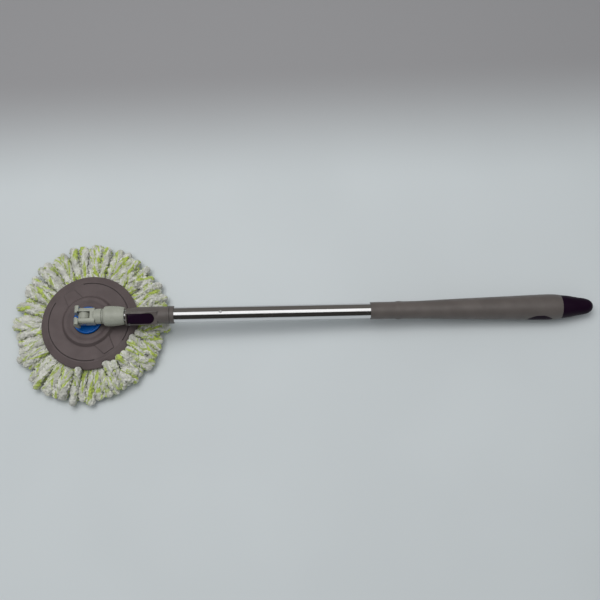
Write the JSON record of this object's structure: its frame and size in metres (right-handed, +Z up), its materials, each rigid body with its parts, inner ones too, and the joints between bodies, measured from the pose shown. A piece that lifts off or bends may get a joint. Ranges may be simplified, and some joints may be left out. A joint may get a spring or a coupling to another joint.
{
  "type": "spin mop",
  "caption": "Hand-press spin mop, folded flat and closed: round strand head on a swivel and fold joint, telescoping steel pole with latch lever and swelling grip.",
  "frame": {"origin": "on the floor, where the spin axis of the mop head meets it, in the middle of the strands' flat underside", "axes": "+Z up along the head's spin axis; +X along the folded pole, from the head towards the grip; Y across, with the latch lever on the -Y side"},
  "size_m": [0.9547, 0.26, 0.0767],
  "materials": {
    "plate_taupe": "satin injection-moulded taupe plastic",
    "refill_white": "satin white plastic",
    "strand_yarn": "fluffy chenille microfibre, white flecked with lime green",
    "swivel_blue": "semi-gloss deep blue plastic",
    "joint_grey": "satin warm light grey plastic",
    "tube_steel": "polished stainless steel tube",
    "hardware_steel": "plain zinc or steel",
    "handle_taupe": "fine matte taupe plastic",
    "dark_plum": "semi-gloss very dark plum plastic",
    "inner_nylon": "plain natural nylon",
    "shoe_rubber": "matte black rubber"
  },
  "bodies": {
    "head": {"mop_plate": "plate_taupe", "refill_ring": "refill_white", "strand_ring": "strand_yarn", "thrust_washer": "hardware_steel"},
    "swivel": {"swivel_disc": "swivel_blue", "pivot_tongue": "joint_grey", "retainer_washer": "hardware_steel", "swivel_screw": "hardware_steel"},
    "lower_pole": {"neck_fork": "joint_grey", "fold_pin": "hardware_steel", "pole_ferrule": "joint_grey", "inner_tube": "tube_steel", "spigot_rivet": "hardware_steel", "clutch_housing": "inner_nylon", "clutch_cap": "inner_nylon", "drive_nut": "inner_nylon", "clutch_spring": "hardware_steel", "retaining_circlip": "hardware_steel"},
    "carriage": {"guide_bush": "inner_nylon"},
    "handle": {"outer_tube": "tube_steel", "lower_bush": "inner_nylon", "twisted_strip": "hardware_steel", "strip_anchor": "inner_nylon", "anchor_rivet": "hardware_steel", "latch_sleeve": "handle_taupe", "latch_pin": "hardware_steel", "brake_shoe": "shoe_rubber", "grip": "handle_taupe", "grip_inlay": "dark_plum", "end_cap": "dark_plum"},
    "latch": {"latch_lever": "dark_plum"}
  },
  "joints": [
    {"name": "head_swivel", "type": "hinge", "parent": "head", "child": "swivel", "pos_m": [0, 0, 0.0385], "axis": [0, 0, 1], "continuous": true},
    {"name": "head_fold", "type": "hinge", "parent": "swivel", "child": "lower_pole", "pos_m": [0, 0, 0.061], "axis": [0, -1, 0], "range_deg": [0, 180]},
    {"name": "drive_spin", "type": "hinge", "parent": "lower_pole", "child": "carriage", "pos_m": [0.54423, 0, 0.03212], "axis": [0.9986, 0, -0.053], "range_deg": [0, 1800]},
    {"name": "telescope", "type": "slide", "parent": "carriage", "child": "handle", "axis": [0.9986, 0, -0.053], "range_m": [0, 0.3]},
    {"name": "latch_flip", "type": "hinge", "parent": "handle", "child": "latch", "pos_m": [0.07434, -0.00945, 0.06917], "axis": [-0.0326, -0.788, -0.6148], "range_deg": [0, 55]}
  ],
  "couplings": [
    {"joint": "drive_spin", "follows": "telescope", "rad_per_m": 104.72}
  ]
}
